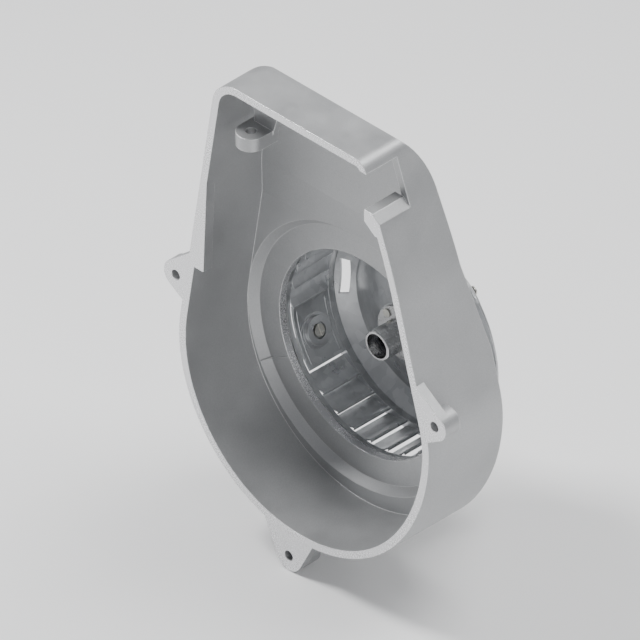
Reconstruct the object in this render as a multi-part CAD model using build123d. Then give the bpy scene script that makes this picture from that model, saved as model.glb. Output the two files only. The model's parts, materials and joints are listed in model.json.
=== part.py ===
from build123d import *
import math
import os

# A blower housing with its wheel and motor, in millimetres.
# X is to the right, Y is back along the wheel's axis, Z is up.
# The origin is on the wheel's axis, at the back face of the housing's floor.

# ---- driving dimensions: housing ----
RIM_Y = -60.2              # plane of the open front rim
WALL = 5.0                 # cast wall and floor
SCROLL_R = 98.4            # outer radius of the round lower part
SCROLL_C = (6.0, -2.3)     # its centre, X and Z
ROOF_Z = 190.0
THROAT_R = 66.5            # inlet throat in the floor
DISH_R = 87.0              # round recess about the throat
DISH_FLAT_R = 82.5         # where its sloping edge meets its flat floor
LEDGE_Y = -10.0            # floor's inner face outside the recess
LEFT_TANGENT = (-91.2, 13.1)
RIGHT_START = (84.2, -62.0)    # where the right side swells out of the circle
SWELL = ((108.9, 4.0), (106.2, 29.5), (86.6, 101.0))   # where its arcs meet
RIGHT_KNEE = (72.3, 145.0)
RIGHT_TOP = (56.0, 190.0)
LEFT_TOP = (-63.0, 190.0)
LEFT_CORNER_R = 19.0
RIGHT_CORNER_R = 8.0
BACK_LEAN = ((0.0, 52.0), (-10.0, 108.0), (-13.0, 154.0))   # back's side view, Y and Z
CROWN = ((-20.0, 178.0), (-31.0, 191.5))                    # its rounding into the roof
CROWN_C = (-66.4, 151.5)   # centre of that rounding, Y and Z
CORNER_C = (-47.2, -34.5)  # rounded back left corner of the roof: centre, X and Y
CORNER_R = 22.0
CORNER_LEAN = 9.1          # degrees by which it leans in, as the left wall does
CORNER_DOWN = (-10.0, 14.0, -40.0)    # the way it fades out downwards
FLANGE = ((-92.0, 49.0), (-73.0, 49.0), (-69.0, 146.0), (-80.0, 146.0))   # thick left rim
FLANGE_DEPTH = 7.0
NOTCH_Z = (158.0, 183.0)   # opening in the right wall, cut from the rim
NOTCH_DEPTH = 25.0
NOTCH_KNEE = ((57.0, 150.0), (66.0, 143.0), (72.0, 146.0), (67.0, 158.0), (57.0, 158.0))
NOTCH_BEVEL = ((63.4, 158.4), (69.4, 153.0), (72.0, 160.0))
EAR_RIB = (-7.5, -0.5)     # rib behind the bottom ear, X from and to
EAR_RIB_DEPTH = 34.0
HOLE_R = 3.3               # every fixing hole of the casting
TAB = (-43.7, -50.8)       # X and Y of the upright hole under the roof
TAB_Z = (149.2, 158.0)
TAB_R = 9.0
TAB_WEB_Y = (8.5, 13.0)    # web that hangs the tab, Y behind the hole

# ---- driving dimensions: wheel ----
BLADE_IN_R = 65.0
BLADE_OUT_R = 70.6
WHEEL_R = 71.4
PITCH = 12.0               # degrees from blade to blade
BLADE_LEAN = 5.8           # degrees from mid-chord to either edge
BLADE_T = 1.0
BLADE_BOW = 1.2            # depth of the blade's curve
HOOK_R = 1.1               # curl along the blade's inner edge
RING_FRONT = (1.5, 4.5)    # front ring, Y from and to
RING_BACK = (33.0, 37.6)   # back ring
RING_SHOULDER = 1.2        # straight part of the back ring's outside, before it slopes in
PANEL_AT = (202.0, 22.0)   # middle of the two solid panels, degrees
PLATE_T = 1.2
BAND_BACK = (54.6, 45.0)   # deepest circle of the bowl, radius and Y
HUB_R = 9.5
HUB_Y = (7.0, 27.0)
COUNTERBORE_R = 7.8
COUNTERBORE_Y = 18.0
PLATE_Y = 27.0             # flat middle of the back plate
PLATE_FLAT_R = 18.0
WINDOW = (58.5, 63.5, 11.5)    # slots in the bowl's band: radius from and to, half angle
WINDOW_AT = (177.5, 357.5)
PANEL_BOSS_Y = 18.5
PANEL_BOSS = ((10.8, 1.0), (8.9, 3.0))     # two steps: radius, height towards the axis
PANEL_SINK = (5.0, 1.0)    # counterbore for the screw's head: radius, height of its floor
PANEL_HOLE_R = 2.1
RIVET_CIRCLE_R = 13.7
RIVET_AT = (45.0, 135.0, 225.0, 315.0)
RIVET_R = 1.6
RIVET_HEAD = (2.7, 0.9)    # radius and thickness
FLANGE_T = 1.8             # hub's riveted flange
SET_SCREW_R = 2.0
SET_SCREW_Y = 22.0
SET_SCREW_AT = 225.0

# ---- driving dimensions: motor and bracket ----
SHAFT_R = 4.0
SHAFT_Y = (15.0, 66.0)
SHAFT_CHAMFER = 0.6
GROOVE_R = 3.4             # groove for the clip in front of the hub's seat
GROOVE_Y = (16.4, 17.4)
RUNNING = 0.04             # radial clearance in the bearings
CAN_R = 28.0
CAN_Y = (38.0, 63.0)
CAP_Y = 66.5
CAN_T = 1.5
BEARING_R = 6.5
ROTOR_R = 15.0
ROTOR_Y = (43.5, 58.0)
AIR_GAP = 0.5
STATOR_R = 26.4
POLE_W = 8.0
EAR_R = 33.0               # circle of the motor's fixing screws
EAR_Y = (51.5, 53.5)
EAR_AT = (45.0, 165.0, 285.0)
LUG_R = 3.8
SCREW_CLEAR_R = 1.7        # clearance holes of the motor's fixing screws
VENT_Y = 47.0              # cooling slots through the can, in opposite pairs
VENT_W = 3.0
VENT_LONG = 9.0
VENT_AT = (20.0, 65.0, 110.0, 155.0)
CAP_VENT_R = 2.6           # six round holes in the end cap
CAP_VENT_CIRCLE_R = 17.0
TERMINAL_AT = 200.0
TERMINAL_Z = (-3.2, 3.2)   # middles of the two terminals
ARM_AT = (120.0, 210.0, 300.0)
RING_Y = (57.5, 59.5)      # bracket ring and arms
LEG_R = (80.0, 82.0)
FOOT_OUT_R = 92.0
FOOT_SCREW_R = 87.0
FOOT_T = 2.0
FOOT_HOLE_R = 2.2
GROMMET_HOLE_R = 2.6
SEAT_R = 2.0               # blind screw holes in the floor
SEAT_DEPTH = 3.6
BRACKET_R = (29.2, 36.9)   # bracket's ring
ARM_HALF = 6.5


# ---- helpers ----
def facing_front(y):
    """Plane at depth y whose local axes are X and Z; extrusions run towards the front."""
    return Plane(origin=(0, y, 0), x_dir=(1, 0, 0), z_dir=(0, -1, 0))


def prism(face, y_front, y_back):
    """Extrude a front-view face from y_front to y_back."""
    return extrude(facing_front(y_back) * face, amount=y_back - y_front)


def polygon(*points):
    return make_face(Polyline(*points, close=True))


def turned(*points):
    """Revolve a closed (radius, Y) outline about the wheel's axis."""
    return revolve(polygon(*points), Axis.Y)


def tube(r_in, r_out, y_front, y_back):
    return turned((r_in, y_front), (r_out, y_front), (r_out, y_back), (r_in, y_back))


def rod(r, y_front, y_back, x=0.0, z=0.0):
    return prism(Pos(x, z) * Circle(r), y_front, y_back)


def polar(r, degrees):
    angle = math.radians(degrees)
    return (r * math.cos(angle), r * math.sin(angle))


def turn(shape, degrees):
    """Turn a shape about the wheel's axis, from +X towards +Z."""
    return shape.rotate(Axis.Y, -degrees)


def on_circle(shape, angles):
    return [turn(shape, a) for a in angles]


def block(x, y, z):
    """Box from three (low, high) pairs."""
    size = (x[1] - x[0], y[1] - y[0], z[1] - z[0])
    middle = ((x[0] + x[1]) / 2, (y[0] + y[1]) / 2, (z[0] + z[1]) / 2)
    return Pos(*middle) * Box(*size)


def radial_plane(r, y):
    """Plane on the +X ray at radius r whose normal points at the axis."""
    return Plane(origin=(r, y, 0), x_dir=(0, 1, 0), z_dir=(-1, 0, 0))


# ---- housing ----
def outline():
    """Outer front view: round below, fuller on the right, a tapering neck above."""
    bottom = (SCROLL_C[0], SCROLL_C[1] - SCROLL_R)
    edges = [ThreePointArc(LEFT_TANGENT, bottom, RIGHT_START)]
    ends = (RIGHT_START, *SWELL, RIGHT_KNEE)
    for start, end in zip(ends, ends[1:]):
        edges.append(TangentArc(start, end, tangent=edges[-1] % 1))
    edges.append(Polyline(RIGHT_KNEE, RIGHT_TOP, LEFT_TOP, LEFT_TANGENT))
    face = make_face(edges)
    corner_left = face.vertices().sort_by_distance((*LEFT_TOP, 0))[0]
    face = fillet(corner_left, LEFT_CORNER_R)
    corner_right = face.vertices().sort_by_distance((*RIGHT_TOP, 0))[0]
    return fillet(corner_right, RIGHT_CORNER_R)


def side_profile(inset):
    """Side view of the back: upright below, leaning forward above, rounded into the roof."""
    front, bottom, width = RIM_Y - 1, -140.0, 300.0
    lean = [(y - inset, z) for y, z in BACK_LEAN]
    crown = [(y - inset, z) for y, z in CROWN]
    back = Polyline((front, bottom), (-inset, bottom), *lean)
    top = ThreePointArc(lean[-1], *crown)
    close = Polyline(crown[-1], (front, crown[-1][1]), (front, bottom))
    face = make_face([back, top, close])
    plane = Plane(origin=(-width / 2, 0, 0), x_dir=(0, 1, 0), z_dir=(1, 0, 0))
    return extrude(plane * face, amount=width)


def corner_cutter(r):
    """Outside of an upright round corner at the roof's back left, which fades out downwards."""
    reach = 60.0
    x, y = CORNER_C
    lean = math.radians(CORNER_LEAN)
    across = (math.cos(lean), 0, -math.sin(lean))
    level = Plane(origin=(x, y, CROWN_C[1]), x_dir=across, z_dir=(math.sin(lean), 0, math.cos(lean)))
    quadrant = Pos(-reach / 2, reach / 2) * Rectangle(reach, reach)
    section = level * (quadrant - Circle(r))
    over = revolve(section, Axis((x, CROWN_C[0], CROWN_C[1]), across), 75.0)
    return over + extrude(section, amount=40.0, dir=CORNER_DOWN)


def tangent_point(centre, r, point, side):
    """Where a line from point touches the circle, on the given side."""
    dx, dz = point[0] - centre[0], point[1] - centre[1]
    far = math.hypot(dx, dz)
    angle = math.atan2(dz, dx) + side * math.acos(r / far)
    return (centre[0] + r * math.cos(angle), centre[1] + r * math.sin(angle))


def ear(centre, r, first, last, thick, boss):
    """Fixing ear at the rim: a plate that runs into the wall, with a longer round boss."""
    t1 = tangent_point(centre, r, first, -1)
    t2 = tangent_point(centre, r, last, 1)
    plate = polygon(first, t1, centre, t2, last) + Pos(*centre) * Circle(r)
    return prism(plate, RIM_Y, RIM_Y + thick) + rod(r, RIM_Y, RIM_Y + boss, *centre)


EARS = {
    "left": {"centre": (-95.2, 36.1), "r": 9.5, "first": (-87.0, 20.0), "last": (-80.5, 60.0),
             "thick": 6.0, "boss": 9.0},
    "bottom": {"centre": (-3.9, -114.9), "r": 10.0, "first": (17.0, -96.5), "last": (-25.0, -92.0),
               "thick": 6.0, "boss": 16.0},
    "right": {"centre": (113.8, 34.0), "r": 9.0, "first": (99.0, 55.0), "last": (101.5, 16.0),
              "thick": 6.0, "boss": 12.0},
}


def roof_tab():
    """Level tab with an upright hole, hung from the roof by a web that widens upwards."""
    x, y = TAB
    tab = Pos(x, y, (TAB_Z[0] + TAB_Z[1]) / 2) * Cylinder(TAB_R, TAB_Z[1] - TAB_Z[0])
    web_front, web_back = y + TAB_WEB_Y[0], y + TAB_WEB_Y[1]
    shelf = block((x - TAB_R, x + TAB_R), (y, web_back), TAB_Z)
    low, high = TAB_Z[0] + 2, ROOF_Z - 2
    web = polygon((x - TAB_R + 3, low), (x + TAB_R - 1, low), (x + TAB_R + 9, high), (x - TAB_R + 3, high))
    return tab + shelf + prism(web, web_front, web_back)


def housing():
    """Cast pan with its recessed floor, throat, ears, roof tab, notch and rim flange."""
    outer_face = outline()
    inner_face = offset(outer_face, amount=-WALL, kind=Kind.INTERSECTION)
    full = prism(outer_face, RIM_Y, 0) - corner_cutter(CORNER_R)
    body = (full & side_profile(0)) + (full & rod(DISH_R + WALL, -40, 0))
    room = (prism(inner_face, RIM_Y - 1, LEDGE_Y) & side_profile(WALL)) - corner_cutter(CORNER_R - WALL)
    recess = turned((0, -40), (DISH_R, -40), (DISH_R, LEDGE_Y), (DISH_FLAT_R, -WALL), (0, -WALL))
    body -= room + (recess & prism(inner_face, -40, -WALL))
    body -= prism(inner_face, LEDGE_Y + WALL, 1) - rod(DISH_R + WALL, -20, 2)
    body += prism(polygon(*FLANGE), RIM_Y, RIM_Y + FLANGE_DEPTH) & full
    body += prism(polygon(*NOTCH_KNEE), RIM_Y, RIM_Y + NOTCH_DEPTH) & full
    body -= block((40, 90), (RIM_Y - 1, RIM_Y + NOTCH_DEPTH), NOTCH_Z)
    body -= prism(polygon(*NOTCH_BEVEL), RIM_Y - 1, RIM_Y + NOTCH_DEPTH)
    for spec in EARS.values():
        body += ear(**spec) - prism(inner_face, RIM_Y - 1, 0)
    body += block(EAR_RIB, (RIM_Y, RIM_Y + EAR_RIB_DEPTH), (-110, -98))
    body += roof_tab() & full & side_profile(0)
    for spec in EARS.values():
        body -= rod(HOLE_R, RIM_Y - 1, RIM_Y + 40, *spec["centre"])
    body -= Pos(*TAB, TAB_Z[0]) * Cylinder(HOLE_R, 40)
    body -= rod(THROAT_R, -20, 1)
    for angle in ARM_AT:
        x, z = polar(FOOT_SCREW_R, angle)
        body -= rod(SEAT_R, -SEAT_DEPTH, 1, x, z)
    return body


# ---- wheel ----
def blade():
    """Curved blade on the +X ray: its inner edge leads, its outer edge trails."""
    start = polar(BLADE_IN_R, BLADE_LEAN)
    end = polar(BLADE_OUT_R - BLADE_T, -BLADE_LEAN)
    middle = ((start[0] + end[0]) / 2, (start[1] + end[1]) / 2)
    along = (end[0] - start[0], end[1] - start[1])
    length = math.hypot(*along)
    normal = (-along[1] / length, along[0] / length)
    if normal[0] < 0:
        normal = (-normal[0], -normal[1])

    def shifted(point, amount):
        return (point[0] + normal[0] * amount, point[1] + normal[1] * amount)

    near = ThreePointArc(start, shifted(middle, BLADE_BOW), end)
    far_start, far_end = shifted(start, BLADE_T), shifted(end, BLADE_T)
    far = ThreePointArc(far_start, shifted(middle, BLADE_BOW + BLADE_T), far_end)
    face = make_face([near, Line(end, far_end), far, Line(far_start, start)])
    curl_centre = shifted(start, HOOK_R)
    curl = Pos(*curl_centre) * (Circle(HOOK_R) - Circle(HOOK_R - BLADE_T))
    curl -= Pos(curl_centre[0] + HOOK_R, curl_centre[1] - HOOK_R) * Rectangle(2 * HOOK_R, 2 * HOOK_R)
    return prism(face + curl, RING_FRONT[1], RING_BACK[0])


def panel():
    """Solid panel on the +X ray, three pitches wide, with a round boss on its inner face."""
    y_front, y_back = RING_FRONT[1], RING_BACK[0]
    shell = tube(BLADE_IN_R + 0.5, BLADE_IN_R + 2.0, y_front, y_back)
    half = math.radians(1.5 * PITCH - 1.0)
    reach = 90.0
    wedge = polygon((0, 0), (reach, -reach * math.tan(half)), (reach, reach * math.tan(half)))
    plate = shell & prism(wedge, y_front - 1, y_back + 1)
    inside_sheet = BLADE_IN_R + 1.2
    for r, height in PANEL_BOSS:
        plate += extrude(radial_plane(inside_sheet, PANEL_BOSS_Y) * Circle(r), amount=height + 1.2)
    sink_r, sink_floor = PANEL_SINK
    plate -= extrude(radial_plane(BLADE_IN_R - sink_floor, PANEL_BOSS_Y) * Circle(sink_r), amount=5.0)
    return plate - extrude(radial_plane(BLADE_IN_R + 8.0, PANEL_BOSS_Y) * Circle(PANEL_HOLE_R), amount=14.0)


def panel_screw():
    """Pan screw in the boss; its head sits in the counterbore."""
    seat = BLADE_IN_R - PANEL_SINK[1]
    head = extrude(radial_plane(seat, PANEL_BOSS_Y) * Circle(3.7), amount=2.2)
    slot = Pos(seat - 2.2, PANEL_BOSS_Y, 0) * Box(1.6, 0.8, 9.0)
    shank = extrude(radial_plane(BLADE_IN_R + 5.2, PANEL_BOSS_Y) * Circle(PANEL_HOLE_R - 0.1), amount=6.4)
    return head - slot + shank


def panel_nut():
    """Nut on the outside of the panel."""
    face = RegularPolygon(3.6, 6) - Circle(PANEL_HOLE_R - 0.05)
    return extrude(radial_plane(BLADE_IN_R + 4.7, PANEL_BOSS_Y) * face, amount=2.6)


def back_ring():
    """Ring behind the blades; its outside slopes in to meet the bowl."""
    front, back = RING_BACK
    return turned((BLADE_IN_R, front), (WHEEL_R, front), (WHEEL_R, front + RING_SHOULDER),
                  (BLADE_IN_R + 1.6, back), (BLADE_IN_R, back))


def back_plate():
    """Pressed bowl: a lip behind the back ring, a band that slopes in, then a cone forwards."""
    lip = RING_BACK[1]
    r_band, y_band = BAND_BACK
    t = PLATE_T
    front = [(BLADE_IN_R + 1.4, lip), (BLADE_IN_R, lip), (r_band, y_band), (PLATE_FLAT_R, PLATE_Y),
             (HUB_R + 0.1, PLATE_Y)]
    back = [(HUB_R + 0.1, PLATE_Y + t), (PLATE_FLAT_R - 0.3, PLATE_Y + t), (r_band, y_band + 1.2 * t),
            (BLADE_IN_R + 0.4, lip + 1.1 * t), (BLADE_IN_R + 1.4, lip + 0.5 * t)]
    plate = turned(*front, *back)
    r_in, r_out, half = WINDOW
    window = polygon(polar(r_in, -half), polar(r_out, -half), polar(r_out, half), polar(r_in, half))
    for one in on_circle(prism(window, lip - 1, y_band + 4), WINDOW_AT):
        plate -= one
    for x, z in (polar(RIVET_CIRCLE_R, a) for a in RIVET_AT):
        plate -= rod(RIVET_R, PLATE_Y - 7, PLATE_Y + 7, x, z)
    return plate


def hub():
    """Turned hub: a deep counterbore in front, the shaft's bore behind, a riveted flange."""
    y_front, y_back = HUB_Y
    flange_y = y_back - FLANGE_T
    body = turned((COUNTERBORE_R, y_front), (HUB_R - 0.5, y_front), (HUB_R, y_front + 0.5), (HUB_R, flange_y),
                  (PLATE_FLAT_R - 0.8, flange_y), (PLATE_FLAT_R - 0.8, y_back), (HUB_R, y_back),
                  (HUB_R, y_back + 4), (SHAFT_R, y_back + 4), (SHAFT_R, COUNTERBORE_Y),
                  (COUNTERBORE_R, COUNTERBORE_Y))
    body -= turn(extrude(radial_plane(HUB_R + 1, SET_SCREW_Y) * Circle(SET_SCREW_R), amount=8.0), SET_SCREW_AT)
    for x, z in (polar(RIVET_CIRCLE_R, a) for a in RIVET_AT):
        body -= rod(RIVET_R, PLATE_Y - 7, PLATE_Y + 7, x, z)
    return body


def hub_rivets():
    """Rivets through the hub's flange and the back plate, a flat head at each end."""
    head_r, head_t = RIVET_HEAD
    flange_front, plate_back = HUB_Y[1] - FLANGE_T, PLATE_Y + PLATE_T
    rivets = []
    for x, z in (polar(RIVET_CIRCLE_R, a) for a in RIVET_AT):
        shank = rod(RIVET_R, flange_front - head_t, plate_back + head_t, x, z)
        heads = rod(head_r, flange_front - head_t, flange_front, x, z)
        heads += rod(head_r, plate_back, plate_back + head_t, x, z)
        rivets.append(shank + heads)
    return rivets


def set_screw():
    """Socket set screw that bears on the shaft."""
    outer = HUB_R - 0.4
    screw = extrude(radial_plane(outer, SET_SCREW_Y) * Circle(SET_SCREW_R - 0.05), amount=outer - SHAFT_R)
    socket = extrude(radial_plane(HUB_R, SET_SCREW_Y) * RegularPolygon(1.1, 6), amount=2.5)
    return turn(screw - socket, SET_SCREW_AT)


def shaft():
    """Ground shaft with chamfered ends and a groove for the clip."""
    front, back = SHAFT_Y
    c = SHAFT_CHAMFER
    body = turned((0, front), (SHAFT_R - c, front), (SHAFT_R, front + c), (SHAFT_R, back - c),
                  (SHAFT_R - c, back), (0, back))
    return body - tube(GROOVE_R, SHAFT_R + 1, *GROOVE_Y)


def shaft_clip():
    """Open ring in the shaft's groove."""
    front, back = GROOVE_Y
    ring = tube(GROOVE_R + 0.02, 6.4, front + 0.05, back - 0.05)
    return ring - block((-1.6, 1.6), (front - 1, back + 1), (0, 9))


# ---- motor and bracket ----
def motor_can():
    """Deep-drawn can, closed in front, with three fixing lugs and cooling slots."""
    can = tube(CAN_R - CAN_T, CAN_R, CAN_Y[0] + 1, CAN_Y[1])
    front = turned((BEARING_R, CAN_Y[0]), (CAN_R - 1.5, CAN_Y[0]), (CAN_R, CAN_Y[0] + 1.5),
                   (CAN_R, CAN_Y[0] + 2), (BEARING_R, CAN_Y[0] + 2))
    can += front + tube(BEARING_R, BEARING_R + 2, CAN_Y[0] + 1, CAN_Y[0] + 4.5)
    lug = block((CAN_R - 0.7, EAR_R), EAR_Y, (-LUG_R, LUG_R)) + rod(LUG_R, *EAR_Y, EAR_R, 0)
    for one in on_circle(lug - rod(SCREW_CLEAR_R, 50, 56, EAR_R, 0), EAR_AT):
        can += one
    slot = Pos(0, VENT_Y, 0) * Box(VENT_W, VENT_LONG, 70.0)
    for angle in VENT_AT:
        can -= turn(slot & tube(CAN_R - 3, CAN_R + 3, 40, 55), angle)
    return can


def motor_cap():
    """Cast end cap with a spigot in the can, a bearing seat and six vent holes."""
    cap = turned((BEARING_R, CAN_Y[1]), (CAN_R, CAN_Y[1]), (CAN_R, CAP_Y - 1.2), (CAN_R - 1.2, CAP_Y),
                 (BEARING_R, CAP_Y))
    cap += tube(CAN_R - CAN_T - 2.0, CAN_R - CAN_T, CAN_Y[1] - 2.0, CAN_Y[1] + 1)
    cap += tube(BEARING_R, BEARING_R + 2.5, CAN_Y[1] - 3.0, CAN_Y[1] + 1)
    for angle in range(0, 360, 60):
        x, z = polar(CAP_VENT_CIRCLE_R, angle)
        cap -= rod(CAP_VENT_R, CAN_Y[1] - 4, CAP_Y + 1, x, z)
    return cap


def bearing(y_front, y_back):
    """Plain bush that the shaft runs in."""
    return tube(SHAFT_R + RUNNING, BEARING_R, y_front, y_back)


def thrust_washers():
    """One washer in front of the rotor and one behind."""
    bore, outer, t, gap = SHAFT_R + 0.05, 7.0, 0.8, 0.1
    front = tube(bore, outer, ROTOR_Y[0] - gap - t, ROTOR_Y[0] - gap)
    back = tube(bore, outer, ROTOR_Y[1] + gap, ROTOR_Y[1] + gap + t)
    return [front, back]


def stator_core():
    """Laminated ring with four poles that end in wide shoes."""
    ring = tube(22.0, STATOR_R, *ROTOR_Y)
    pole = block((ROTOR_R + 0.2, 23.0), ROTOR_Y, (-POLE_W / 2, POLE_W / 2))
    shoe = block((ROTOR_R - 1.5, 17.2), ROTOR_Y, (-8.0, 8.0))
    for one in on_circle(pole + shoe, range(0, 360, 90)):
        ring += one
    return ring - rod(ROTOR_R + AIR_GAP, 40, 62)


def coil():
    """Winding round one pole, on the +X ray."""
    outer = block((17.5, 20.6), (ROTOR_Y[0] - 2.6, ROTOR_Y[1] + 2.0), (-7.6, 7.6))
    hole = block((10, 30), (ROTOR_Y[0] - 0.05, ROTOR_Y[1] + 0.05), (-POLE_W / 2 - 0.05, POLE_W / 2 + 0.05))
    upright = (outer.edges() | Axis.X)
    return fillet(upright, 1.6) - hole


def terminal_block():
    """Moulded block on the can's side, with two pockets that open backwards."""
    body = block((CAN_R - 1.0, CAN_R + 5.6), (43.0, 56.0), (-7.0, 7.0))
    body -= rod(CAN_R + 0.05, 40, 62)
    for z in TERMINAL_Z:
        body -= block((CAN_R + 1.2, CAN_R + 4.6), (50.0, 57.0), (z - 2.2, z + 2.2))
    return turn(body, TERMINAL_AT)


def terminals():
    """Two flat blades in the terminal block's pockets."""
    x = (CAN_R + 2.5, CAN_R + 3.3)
    return [turn(block(x, (50.0, 56.8), (z - 1.6, z + 1.6)), TERMINAL_AT) for z in TERMINAL_Z]


def bracket():
    """Folded sheet: a ring behind the motor, three arms, three legs and their feet."""
    body = tube(*BRACKET_R, *RING_Y)
    width = (-ARM_HALF, ARM_HALF)
    arm = block((BRACKET_R[0] + 1.3, LEG_R[1]), RING_Y, width) - rod(BRACKET_R[0], 50, 62)
    leg = block(LEG_R, (0, RING_Y[1]), width)
    foot = block((LEG_R[0], FOOT_OUT_R), (0, FOOT_T), width)
    bead = block((40, 76), (RING_Y[1], RING_Y[1] + 0.8), (-1.6, 1.6))
    limb = arm + leg + foot + bead - rod(FOOT_HOLE_R, -1, 3, FOOT_SCREW_R, 0)
    for one in on_circle(limb, ARM_AT):
        body += one
    for angle in EAR_AT:
        body -= rod(GROMMET_HOLE_R, 50, 62, *polar(EAR_R, angle))
    return body


def bracket_screws():
    """Hexagon-headed tapping screws through the feet into the floor."""
    head = prism(Pos(FOOT_SCREW_R, 0) * RegularPolygon(3.6, 6), FOOT_T, FOOT_T + 2.8)
    flange = rod(4.2, FOOT_T, FOOT_T + 0.8, FOOT_SCREW_R, 0)
    shank = rod(SEAT_R - 0.05, -SEAT_DEPTH + 0.2, FOOT_T + 0.5, FOOT_SCREW_R, 0)
    return on_circle(head + flange + shank, ARM_AT)


def grommets():
    """Grooved rubber bushes between the motor's ears and the bracket's ring."""
    front, back = EAR_Y[1], RING_Y[1] + 1.0
    body = rod(3.7, front, RING_Y[0], EAR_R, 0) + rod(3.6, RING_Y[1], back, EAR_R, 0)
    body += rod(GROMMET_HOLE_R - 0.05, front, back, EAR_R, 0)
    return on_circle(body - rod(SCREW_CLEAR_R, 50, 64, EAR_R, 0), EAR_AT)


def motor_screws():
    """Round-headed screws, entered from behind."""
    back = RING_Y[1] + 1.0
    screw = rod(SCREW_CLEAR_R - 0.1, 48.5, back + 1.0, EAR_R, 0) + rod(2.9, back, back + 1.6, EAR_R, 0)
    return on_circle(screw, EAR_AT)


def motor_nuts():
    """Nuts in front of the motor's ears."""
    face = Pos(EAR_R, 0) * (RegularPolygon(2.9, 6) - Circle(SCREW_CLEAR_R - 0.05))
    return on_circle(prism(face, EAR_Y[0] - 2.3, EAR_Y[0]), EAR_AT)


# ---- all the pieces ----
def as_group(shapes):
    solids = []
    for shape in shapes:
        solids.extend(shape.solids())
    return Compound(children=solids)


def build():
    pieces = {
        "scroll_housing": housing(),
        "motor_bracket": bracket(),
        "bracket_screws": as_group(bracket_screws()),
        "rubber_grommets": as_group(grommets()),
        "motor_screws": as_group(motor_screws()),
        "motor_nuts": as_group(motor_nuts()),
        "motor_can": motor_can(),
        "motor_end_cap": motor_cap(),
        "stator_core": stator_core(),
        "front_bearing": bearing(CAN_Y[0] - 1.0, CAN_Y[0] + 4.5),
        "rear_bearing": bearing(CAN_Y[1] - 3.0, CAP_Y - 0.5),
        "terminal_block": terminal_block(),
        "terminal_blades": as_group(terminals()),
        "motor_shaft": shaft(),
        "rotor_core": tube(SHAFT_R, ROTOR_R, *ROTOR_Y),
        "thrust_washers": as_group(thrust_washers()),
        "shaft_clip": shaft_clip(),
        "wheel_hub": hub(),
        "hub_set_screw": set_screw(),
        "hub_rivets": as_group(hub_rivets()),
        "wheel_back_plate": back_plate(),
        "wheel_front_ring": tube(BLADE_IN_R + 2.5, WHEEL_R, *RING_FRONT),
        "wheel_back_ring": back_ring(),
        "wheel_panel_left": turn(panel(), PANEL_AT[0]),
        "wheel_panel_right": turn(panel(), PANEL_AT[1]),
        "panel_screws": as_group(on_circle(panel_screw(), PANEL_AT)),
        "panel_nuts": as_group(on_circle(panel_nut(), PANEL_AT)),
    }
    for number, angle in enumerate(range(0, 360, 90), start=1):
        pieces[f"stator_coil_{number}"] = turn(coil(), angle)
    places = [step for step in range(30) if step % 15 not in (14, 0, 1)]
    for number, step in enumerate(places, start=1):
        pieces[f"blade_{number:02d}"] = turn(blade(), PANEL_AT[0] + PITCH * step)
    return pieces


os.makedirs("parts", exist_ok=True)
for name, piece in build().items():
    export_step(piece, f"parts/{name}.step")
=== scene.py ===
import json
import math

import bmesh
import bpy
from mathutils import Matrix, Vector


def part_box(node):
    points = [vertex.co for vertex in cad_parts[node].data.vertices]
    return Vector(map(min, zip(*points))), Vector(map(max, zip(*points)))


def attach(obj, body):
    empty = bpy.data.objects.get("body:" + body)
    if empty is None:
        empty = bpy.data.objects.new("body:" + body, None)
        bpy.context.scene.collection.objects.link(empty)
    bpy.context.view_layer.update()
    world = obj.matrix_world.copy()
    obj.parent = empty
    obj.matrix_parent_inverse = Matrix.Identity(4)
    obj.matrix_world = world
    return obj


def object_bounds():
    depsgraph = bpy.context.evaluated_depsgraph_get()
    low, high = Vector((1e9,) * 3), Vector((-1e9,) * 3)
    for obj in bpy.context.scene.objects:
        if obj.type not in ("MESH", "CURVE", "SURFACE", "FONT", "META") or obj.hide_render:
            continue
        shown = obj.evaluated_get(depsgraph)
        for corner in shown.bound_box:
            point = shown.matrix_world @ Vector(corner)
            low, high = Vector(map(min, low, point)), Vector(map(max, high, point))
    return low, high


# A cast blower housing with its bladed wheel and motor. Metres and degrees throughout.
# X is to the right, Y is back along the wheel's axis, Z is up, and the origin is on that axis.

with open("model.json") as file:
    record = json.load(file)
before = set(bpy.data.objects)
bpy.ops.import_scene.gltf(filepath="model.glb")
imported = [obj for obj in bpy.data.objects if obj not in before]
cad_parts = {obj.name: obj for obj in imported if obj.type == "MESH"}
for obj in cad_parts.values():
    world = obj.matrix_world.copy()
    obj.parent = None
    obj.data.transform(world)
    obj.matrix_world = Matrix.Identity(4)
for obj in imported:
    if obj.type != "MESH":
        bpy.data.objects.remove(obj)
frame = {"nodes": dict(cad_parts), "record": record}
cad_low, cad_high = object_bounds()
NODES = frame["nodes"]

# ---- camera: isometric, without perspective ----
VIEW_BACK = Vector((1, -1, 1)).normalized()   # from the object to the camera
AIM = Vector((-0.0194, -0.0194, 0.022))       # middle of the picture
VIEW_WIDTH = 0.3658
CAMERA_AWAY = 1.2


def make_camera():
    data = bpy.data.cameras.new("camera")
    data.type = "ORTHO"
    data.ortho_scale = VIEW_WIDTH
    data.clip_start, data.clip_end = 0.05, 20.0
    camera = bpy.data.objects.new("camera", data)
    camera.location = AIM + VIEW_BACK * CAMERA_AWAY
    camera.rotation_euler = (-VIEW_BACK).to_track_quat("-Z", "Y").to_euler()
    bpy.context.collection.objects.link(camera)
    bpy.context.scene.camera = camera


make_camera()


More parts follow.
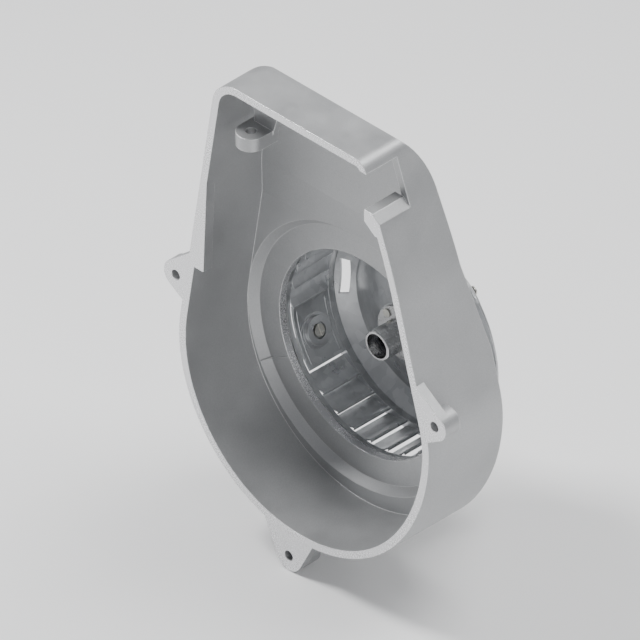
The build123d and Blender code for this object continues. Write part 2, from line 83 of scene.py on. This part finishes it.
# ---- sizes shared with the frame ----
RIM_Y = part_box("scroll_housing")[0].y            # plane of the open front rim
FRONT_RING_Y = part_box("wheel_front_ring")[0].y   # front faces of the wheel's two rings
BACK_RING_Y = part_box("wheel_back_ring")[0].y
WHEEL_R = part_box("wheel_front_ring")[1].x
CAN_FRONT_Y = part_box("motor_can")[0].y
THROAT_R = 0.0665
DISH_R = 0.087             # round recess about the throat, at its upper edge
DISH_FLAT_R = 0.0825       # where its sloping edge meets its flat floor
DISH_FLOOR_Y = -0.005
LEDGE_Y = -0.010           # floor of the casting outside the recess
PANEL_FACE_R = 0.0655      # inner faces of the two solid panels
PANEL_AT = (202.0, 22.0)   # their middles
CAN_R = 0.028
PITCH = 12.0               # from blade to blade
PLACES = round(360 / PITCH)
PANEL_PLACES = (PLACES // 2 - 1, 0, 1)           # places in each half turn that a panel takes
BLADE_PLACES = [k for k in range(PLACES) if k % (PLACES // 2) not in PANEL_PLACES]


# ---- materials ----
BEVEL_SAMPLES = 6


class Recipe:
    """A node material in the making: most methods add nodes and return an output socket."""

    def __init__(self, name, metallic=0.0, coat=0.0, specular=0.5):
        self.material = bpy.data.materials.new(name)
        self.material.use_nodes = True
        self.tree = self.material.node_tree
        self.tree.nodes.clear()
        self.shader = self.add("ShaderNodeBsdfPrincipled")
        output = self.add("ShaderNodeOutputMaterial")
        self.tree.links.new(self.shader.outputs["BSDF"], output.inputs["Surface"])
        self.shader.inputs["Metallic"].default_value = metallic
        self.shader.inputs["Coat Weight"].default_value = coat
        self.shader.inputs["Specular IOR Level"].default_value = specular
        self.place = self.add("ShaderNodeTexCoord").outputs["Object"]

    def add(self, kind, **settings):
        node = self.tree.nodes.new(kind)
        for key, value in settings.items():
            setattr(node, key, value)
        return node

    def link(self, source, target):
        self.tree.links.new(source, target)

    def stretched(self, scale):
        mapping = self.add("ShaderNodeMapping")
        mapping.inputs["Scale"].default_value = scale
        self.link(self.place, mapping.inputs["Vector"])
        return mapping.outputs["Vector"]

    def noise(self, scale, detail=3.0, rough=0.5, vector=None):
        node = self.add("ShaderNodeTexNoise")
        node.inputs["Scale"].default_value = scale
        node.inputs["Detail"].default_value = detail
        node.inputs["Roughness"].default_value = rough
        self.link(vector or self.place, node.inputs["Vector"])
        return node.outputs["Fac"]

    def cells(self, scale, output="Color"):
        node = self.add("ShaderNodeTexVoronoi")
        node.inputs["Scale"].default_value = scale
        self.link(self.place, node.inputs["Vector"])
        return node.outputs[output]

    def waves(self, scale, direction, distortion=0.0):
        node = self.add("ShaderNodeTexWave", bands_direction=direction)
        node.inputs["Scale"].default_value = scale
        node.inputs["Distortion"].default_value = distortion
        self.link(self.place, node.inputs["Vector"])
        return node.outputs["Fac"]

    def spread(self, source, low, high, from_low=0.3, from_high=0.7):
        """Map from_low..from_high, where most noise lies, to low..high."""
        node = self.add("ShaderNodeMapRange")
        node.inputs["From Min"].default_value = from_low
        node.inputs["From Max"].default_value = from_high
        node.inputs["To Min"].default_value = low
        node.inputs["To Max"].default_value = high
        self.link(source, node.inputs["Value"])
        return node.outputs["Result"]

    def mix(self, factor, first, second):
        node = self.add("ShaderNodeMix", data_type="RGBA")
        self.link(factor, node.inputs[0])
        for value, socket in ((first, node.inputs[6]), (second, node.inputs[7])):
            if isinstance(value, tuple):
                socket.default_value = (*value, 1.0)
            else:
                self.link(value, socket)
        return node.outputs[2]

    def calc(self, operation, first, second):
        node = self.add("ShaderNodeMath", operation=operation)
        for value, socket in ((first, node.inputs[0]), (second, node.inputs[1])):
            if isinstance(value, (int, float)):
                socket.default_value = value
            else:
                self.link(value, socket)
        return node.outputs[0]

    def edges(self, radius):
        """1 on rounded edges and 0 on flats, from how far a bevelled normal turns."""
        bevel = self.add("ShaderNodeBevel", samples=BEVEL_SAMPLES)
        bevel.inputs["Radius"].default_value = radius
        plain = self.add("ShaderNodeNewGeometry").outputs["Normal"]
        dot = self.add("ShaderNodeVectorMath", operation="DOT_PRODUCT")
        self.link(bevel.outputs["Normal"], dot.inputs[0])
        self.link(plain, dot.inputs[1])
        return self.spread(dot.outputs["Value"], 1.0, 0.0, 0.80, 0.985)

    def bump(self, height, strength, depth, after=None):
        node = self.add("ShaderNodeBump")
        node.inputs["Strength"].default_value = strength
        node.inputs["Distance"].default_value = depth
        self.link(height, node.inputs["Height"])
        if after is not None:
            self.link(after, node.inputs["Normal"])
        return node.outputs["Normal"]

    def soft_edge(self, radius):
        bevel = self.add("ShaderNodeBevel", samples=BEVEL_SAMPLES)
        bevel.inputs["Radius"].default_value = radius
        return bevel.outputs["Normal"]

    def finish(self, color, roughness, normal):
        self.link(color, self.shader.inputs["Base Color"])
        self.link(roughness, self.shader.inputs["Roughness"])
        self.link(normal, self.shader.inputs["Normal"])
        return self.material


def cast_aluminium():
    """Die casting: fine grain, soft mottling, small pits, bright worn edges, milled faces."""
    r = Recipe("cast_aluminium", metallic=0.72)
    mottle = r.noise(38, 5, 0.6)
    grain = r.noise(1500, 3, 0.65)
    pits = r.spread(r.cells(420, "Distance"), 0.0, 1.0, 0.05, 0.22)
    base = r.mix(r.spread(mottle, 0, 1), (0.42, 0.425, 0.43), (0.475, 0.48, 0.485))
    base = r.mix(r.spread(grain, 0, 0.5), base, (0.34, 0.345, 0.35))
    base = r.mix(r.calc("MULTIPLY", r.edges(0.0009), 0.8), base, (0.84, 0.84, 0.84))
    rough = r.calc("ADD", r.spread(mottle, 0.40, 0.52), r.spread(grain, -0.05, 0.08))
    machined = machined_faces(r)
    marks = r.noise(1400, 2, 0.5, r.stretched((1.0, 1.0, 0.06)))
    base = r.mix(r.calc("MULTIPLY", machined, 0.85), base, (0.76, 0.76, 0.77))
    keep = r.calc("SUBTRACT", 1.0, r.calc("MULTIPLY", machined, 0.45))
    rough = r.calc("MULTIPLY", rough, keep)
    skin = r.calc("MULTIPLY", grain, r.calc("SUBTRACT", 1.0, machined))
    milled = r.calc("MULTIPLY", r.calc("MULTIPLY", marks, 0.35), machined)
    height = r.calc("ADD", skin, milled)
    rounded = r.soft_edge(0.0007)
    normal = r.bump(height, 0.32, 0.00022, rounded)
    normal = r.bump(pits, 0.12, 0.0002, normal)
    normal = r.bump(mottle, 0.05, 0.0012, normal)
    return r.finish(base, rough, normal)


def machined_faces(r):
    """1 on the milled rim face and in the bored throat, 0 on the casting's own skin."""
    axes = r.add("ShaderNodeSeparateXYZ")
    r.link(r.place, axes.inputs[0])
    x, y, z = axes.outputs
    rim = r.calc("LESS_THAN", y, RIM_Y + 0.00005)
    squares = r.calc("ADD", r.calc("MULTIPLY", x, x), r.calc("MULTIPLY", z, z))
    bore = r.calc("LESS_THAN", squares, (THROAT_R + 0.0001) ** 2)
    return r.calc("MAXIMUM", rim, bore)


def galvanised(name, light, dark, spangle):
    """Hot-dip zinc on sheet: crystal spangle, a faint rolling grain and small scuffs."""
    r = Recipe(name, metallic=0.85)
    crystal = r.add("ShaderNodeSeparateColor")
    r.link(r.cells(spangle), crystal.inputs["Color"])
    tone = crystal.outputs[0]
    smear = r.noise(55, 4, 0.6)
    rolled = r.noise(900, 2, 0.5, r.stretched((0.15, 1.0, 1.0)))
    base = r.mix(r.spread(tone, 0, 1, 0, 1), dark, light)
    base = r.mix(r.spread(smear, 0, 0.45), base, tuple(c * 0.80 for c in dark))
    base = r.mix(r.calc("MULTIPLY", r.edges(0.0004), 0.5), base, (0.88, 0.88, 0.88))
    rough = r.calc("ADD", r.spread(tone, 0.26, 0.40, 0, 1), r.spread(smear, -0.03, 0.10))
    normal = r.bump(rolled, 0.10, 0.0001, r.soft_edge(0.0003))
    normal = r.bump(tone, 0.04, 0.0001, normal)
    return r.finish(base, rough, normal)


def turned_steel(name, color, rough_low=0.20, rough_high=0.34, rings=2600.0):
    """Turned or drawn bright steel: fine lines along one direction, a few dull stains."""
    r = Recipe(name, metallic=1.0)
    lines = r.noise(rings, 2, 0.5, r.stretched((0.12, 1.0, 0.12)))
    stain = r.noise(120, 4, 0.6)
    base = r.mix(r.spread(stain, 0, 1), color, tuple(c * 0.78 for c in color))
    base = r.mix(r.calc("MULTIPLY", r.edges(0.0003), 0.6), base, (0.90, 0.90, 0.90))
    rough = r.calc("ADD", r.spread(stain, rough_low, rough_high), r.spread(lines, -0.04, 0.06))
    normal = r.bump(lines, 0.14, 0.00008, r.soft_edge(0.00025))
    return r.finish(base, rough, normal)


def enamel(name, color):
    """Stoved enamel: slight orange peel, dust in the roughness, paint thin at the edges."""
    r = Recipe(name, coat=0.25)
    peel = r.noise(520, 2, 0.4)
    dust = r.noise(70, 5, 0.65)
    base = r.mix(r.spread(dust, 0, 1), color, tuple(c * 1.6 + 0.01 for c in color))
    base = r.mix(r.calc("MULTIPLY", r.edges(0.0004), 0.4), base, (0.30, 0.30, 0.30))
    rough = r.spread(dust, 0.30, 0.46)
    normal = r.bump(peel, 0.10, 0.0003, r.soft_edge(0.0004))
    return r.finish(base, rough, normal)


def moulded(name, color, rough=(0.50, 0.68), grain_scale=1800, strength=0.2, specular=0.4):
    """Moulded rubber, plastic or fibre: a fine matt grain and a little bloom."""
    r = Recipe(name, specular=specular)
    grain = r.noise(grain_scale, 3, 0.6)
    bloom = r.noise(90, 4, 0.6)
    base = r.mix(r.spread(bloom, 0, 1), color, tuple(c * 1.25 + 0.012 for c in color))
    normal = r.bump(grain, strength, 0.0001, r.soft_edge(0.0003))
    return r.finish(base, r.spread(bloom, *rough), normal)


def laminated(name):
    """Stacked sheet steel, with a line every half millimetre along the axis."""
    r = Recipe(name, metallic=0.9)
    sheets = r.waves(320, "Y")
    stain = r.noise(150, 4, 0.6)
    base = r.mix(r.spread(stain, 0, 1), (0.30, 0.30, 0.32), (0.42, 0.41, 0.41))
    base = r.mix(r.spread(sheets, 0.0, 0.6, 0.0, 0.35), (0.10, 0.10, 0.11), base)
    normal = r.bump(sheets, 0.4, 0.0002, r.soft_edge(0.0002))
    return r.finish(base, r.spread(stain, 0.36, 0.52), normal)


def winding(name):
    """Varnished copper wire laid in turns."""
    r = Recipe(name, metallic=0.55, coat=0.6)
    turns = r.waves(260, "DIAGONAL", 0.4)
    tone = r.noise(200, 4, 0.6)
    base = r.mix(r.spread(tone, 0, 1), (0.52, 0.19, 0.07), (0.68, 0.30, 0.12))
    normal = r.bump(turns, 0.7, 0.0004, r.soft_edge(0.0005))
    return r.finish(base, r.spread(tone, 0.22, 0.36), normal)


def bronze(name):
    """Sintered bronze: open grain with oil in the pores."""
    r = Recipe(name, metallic=0.9)
    pores = r.cells(1600, "Distance")
    tone = r.noise(160, 4, 0.6)
    base = r.mix(r.spread(tone, 0, 1), (0.52, 0.33, 0.16), (0.66, 0.46, 0.24))
    normal = r.bump(r.spread(pores, 0, 1, 0.05, 0.3), 0.25, 0.0001, r.soft_edge(0.0002))
    return r.finish(base, r.spread(tone, 0.34, 0.50), normal)


MATERIALS = {
    "cast_housing": cast_aluminium(),
    "wheel_sheet": galvanised("galvanised_wheel", (0.60, 0.61, 0.62), (0.44, 0.45, 0.46), 170),
    "blade_sheet": galvanised("galvanised_blade", (0.72, 0.73, 0.74), (0.56, 0.57, 0.58), 230),
    "bracket_steel": galvanised("plated_bracket", (0.66, 0.66, 0.64), (0.54, 0.54, 0.53), 210),
    "zinc_screws": turned_steel("plated_screw", (0.64, 0.63, 0.58), 0.26, 0.38),
    "black_rubber": moulded("black_rubber", (0.018, 0.018, 0.019), (0.62, 0.80), 1400, 0.3, 0.3),
    "motor_paint": enamel("motor_enamel", (0.035, 0.038, 0.042)),
    "end_cap_zinc": turned_steel("cast_end_cap", (0.50, 0.50, 0.51), 0.38, 0.50, 900.0),
    "core_steel": laminated("laminated_core"),
    "bronze_bush": bronze("sintered_bronze"),
    "terminal_plastic": moulded("terminal_nylon", (0.66, 0.63, 0.54), (0.42, 0.55), 1200, 0.12),
    "terminal_brass": turned_steel("terminal_brass", (0.72, 0.55, 0.26), 0.22, 0.34),
    "ground_steel": turned_steel("ground_shaft", (0.72, 0.72, 0.73), 0.14, 0.24, 4200.0),
    "washer_plastic": moulded("fibre_washer", (0.36, 0.17, 0.07), (0.50, 0.66), 900, 0.2),
    "spring_steel": turned_steel("spring_steel", (0.20, 0.20, 0.22), 0.24, 0.36),
    "hub_steel": turned_steel("turned_hub", (0.66, 0.66, 0.66), 0.22, 0.34, 3000.0),
    "black_screw": turned_steel("black_oxide", (0.06, 0.06, 0.065), 0.34, 0.48),
    "copper_winding": winding("copper_winding"),
}


def dress_nodes():
    slots = {part["node"]: part["material_slot"] for part in frame["record"]["subparts"]}
    for node, piece in NODES.items():
        piece.data.materials.clear()
        piece.data.materials.append(MATERIALS[slots[node]])


dress_nodes()


# ---- small pieces that the frame leaves out ----
SEAM_AT = 207.5            # angle of the casting's flash line
SEAM_GAP_R = 0.0755        # where its inner stretch begins
SEAM_STEPS = 6
SEAM_SIZE = (0.00032, 0.0003)        # half width and height of each ridge
PANEL_BEAD_SIZE = (0.0005, 0.0004)
PANEL_BEAD_SPAN = 1.5 * PITCH - 3.0  # half its angle
CLINCH_SIZE = (0.0006, 0.00025)
CLINCH_SPAN = 1.3
CLINCH_BEHIND = 5.0        # from a blade's middle to its tab
CAN_BEAD_SIZE = (0.0006, 0.0005)
BEAD_STEPS = 6             # faces across a ridge
BEAD_ROOT = 0.4            # how deep a ridge is rooted, as a share of its height


def around(r, degrees, y):
    """Point at radius r and the given angle, from +X towards +Z."""
    angle = math.radians(degrees)
    return Vector((r * math.cos(angle), y, r * math.sin(angle)))


def add_piece(name, bm, body, slot):
    """Make an object of the mesh, with its material, riding on a body."""
    bmesh.ops.recalc_face_normals(bm, faces=bm.faces)
    mesh = bpy.data.meshes.new(name)
    bm.to_mesh(mesh)
    bm.free()
    piece = bpy.data.objects.new(name, mesh)
    bpy.context.collection.objects.link(piece)
    mesh.materials.append(MATERIALS[slot])
    for polygon in mesh.polygons:
        polygon.use_smooth = True
    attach(piece, body)


def bead_section(bm, point, side, lift, half_width, height):
    """Half-round top over a shallow root, which is sunk in the surface."""
    section = []
    for step in range(BEAD_STEPS + 1):
        angle = math.pi * step / BEAD_STEPS
        offset = side * (half_width * math.cos(angle)) + lift * (height * math.sin(angle))
        section.append(bm.verts.new(point + offset))
    root = point - lift * height * BEAD_ROOT
    section.append(bm.verts.new(root - side * half_width))
    section.append(bm.verts.new(root + side * half_width))
    return section


def bead(bm, points, sides, lifts, size, closed=False):
    """Low rounded ridge along points; sides and lifts give its two directions at each point."""
    sections = [bead_section(bm, *place, *size) for place in zip(points, sides, lifts)]
    count = len(sections[0])
    pairs = list(zip(sections, sections[1:]))
    if closed:
        pairs.append((sections[-1], sections[0]))
    for first, second in pairs:
        for k in range(count):
            after = (k + 1) % count
            bm.faces.new((first[k], first[after], second[after], second[k]))
    if not closed:
        bm.faces.new(sections[0])
        bm.faces.new(list(reversed(sections[-1])))


def ring_bead(bm, r, y, size, first=0.0, last=360.0, steps=96, inward=False):
    """Ridge round the wheel's axis, whole or from one angle to another."""
    closed = last - first >= 360.0
    count = steps if closed else steps + 1
    angles = [first + (last - first) * k / steps for k in range(count)]
    points = [around(r, a, y) for a in angles]
    lifts = [around(-1.0 if inward else 1.0, a, 0.0) for a in angles]
    bead(bm, points, [Vector((0, 1, 0))] * count, lifts, size, closed)


def dish_seam():
    """Flash line of the casting, from the recess's edge in to the throat."""
    bm = bmesh.new()
    side = around(1.0, SEAM_AT + 90.0, 0.0)
    slope = (around(DISH_R - 0.0003, SEAM_AT, LEDGE_Y + 0.0003),
             around(DISH_FLAT_R - 0.0015, SEAM_AT, DISH_FLOOR_Y))
    level = (around(SEAM_GAP_R, SEAM_AT, DISH_FLOOR_Y),
             around(THROAT_R + 0.0006, SEAM_AT, DISH_FLOOR_Y))
    for start, end in (slope, level):
        lift = side.cross(end - start).normalized()
        if lift.y > 0:
            lift = -lift
        count = SEAM_STEPS + 1
        points = [start.lerp(end, k / SEAM_STEPS) for k in range(count)]
        bead(bm, points, [side] * count, [lift] * count, SEAM_SIZE)
    add_piece("dish_seam", bm, "housing", "cast_housing")


def panel_beads():
    """Pressed ridges across the two solid panels, one near each end."""
    for name, middle in zip(("left", "right"), PANEL_AT):
        bm = bmesh.new()
        for y in (FRONT_RING_Y + 0.0058, BACK_RING_Y - 0.0030):
            first, last = middle - PANEL_BEAD_SPAN, middle + PANEL_BEAD_SPAN
            ring_bead(bm, PANEL_FACE_R, y, PANEL_BEAD_SIZE, first, last, 24, True)
        add_piece(f"panel_bead_{name}", bm, "wheel", "wheel_sheet")


def clinch_tabs():
    """Folded tabs that hold each blade to the outside of the two rings."""
    for name, y in (("front", FRONT_RING_Y + 0.0015), ("back", BACK_RING_Y + 0.0006)):
        bm = bmesh.new()
        for place in BLADE_PLACES:
            middle = PANEL_AT[0] + PITCH * place - CLINCH_BEHIND
            first, last = middle - CLINCH_SPAN, middle + CLINCH_SPAN
            ring_bead(bm, WHEEL_R - 0.0001, y, CLINCH_SIZE, first, last, 4)
        add_piece(f"clinch_tabs_{name}", bm, "wheel", "blade_sheet")


def can_beads():
    """Two rolled ridges round the motor's can."""
    bm = bmesh.new()
    for y in (CAN_FRONT_Y + 0.0034, CAN_FRONT_Y + 0.0225):
        ring_bead(bm, CAN_R, y, CAN_BEAD_SIZE)
    add_piece("can_beads", bm, "housing", "motor_paint")


dish_seam()
panel_beads()
clinch_tabs()
can_beads()


# ---- studio ----
FLOOR_DROP = 0.0002        # gap that keeps the floor clear of the bottom ear
FLOOR_HALF = 6.0
SKY_COLOR = (0.93, 0.95, 1.0, 1.0)
SKY_STRENGTH = 0.30
LIGHT_TARGET = Vector((0.0, 0.0, 0.02))


def area_light(name, place, size, power):
    data = bpy.data.lights.new(name, "AREA")
    data.shape = "RECTANGLE"
    data.size, data.size_y = size
    data.energy = power
    light = bpy.data.objects.new(name, data)
    light.location = place
    light.rotation_euler = (LIGHT_TARGET - Vector(place)).to_track_quat("-Z", "Y").to_euler()
    bpy.context.collection.objects.link(light)


def make_floor():
    mesh = bpy.data.meshes.new("floor")
    half, z = FLOOR_HALF, cad_low.z - FLOOR_DROP
    corners = [(-half, -half, z), (half, -half, z), (half, half, z), (-half, half, z)]
    mesh.from_pydata(corners, [], [(0, 1, 2, 3)])
    floor = bpy.data.objects.new("floor", mesh)
    bpy.context.collection.objects.link(floor)
    r = Recipe("pale_floor", specular=0.2)
    tone = r.noise(3.0, 3, 0.5)
    base = r.mix(r.spread(tone, 0, 1), (0.84, 0.84, 0.84), (0.87, 0.87, 0.87))
    normal = r.bump(r.noise(400, 2, 0.5), 0.02, 0.0005)
    mesh.materials.append(r.finish(base, r.spread(tone, 0.72, 0.82), normal))


def make_world():
    world = bpy.data.worlds.new("studio")
    world.use_nodes = True
    tree = world.node_tree
    tree.nodes["Background"].inputs["Color"].default_value = SKY_COLOR
    tree.nodes["Background"].inputs["Strength"].default_value = SKY_STRENGTH
    bpy.context.scene.world = world


make_floor()
make_world()
area_light("key", (-0.70, -0.35, 1.00), (0.35, 0.35), 19.0)
area_light("top", (0.30, 0.25, 1.10), (0.6, 0.6), 11.0)
area_light("right_fill", (1.10, -0.45, 0.20), (0.4, 0.9), 6.5)
area_light("back_rim", (0.25, 1.05, 0.65), (0.9, 0.4), 4.5)
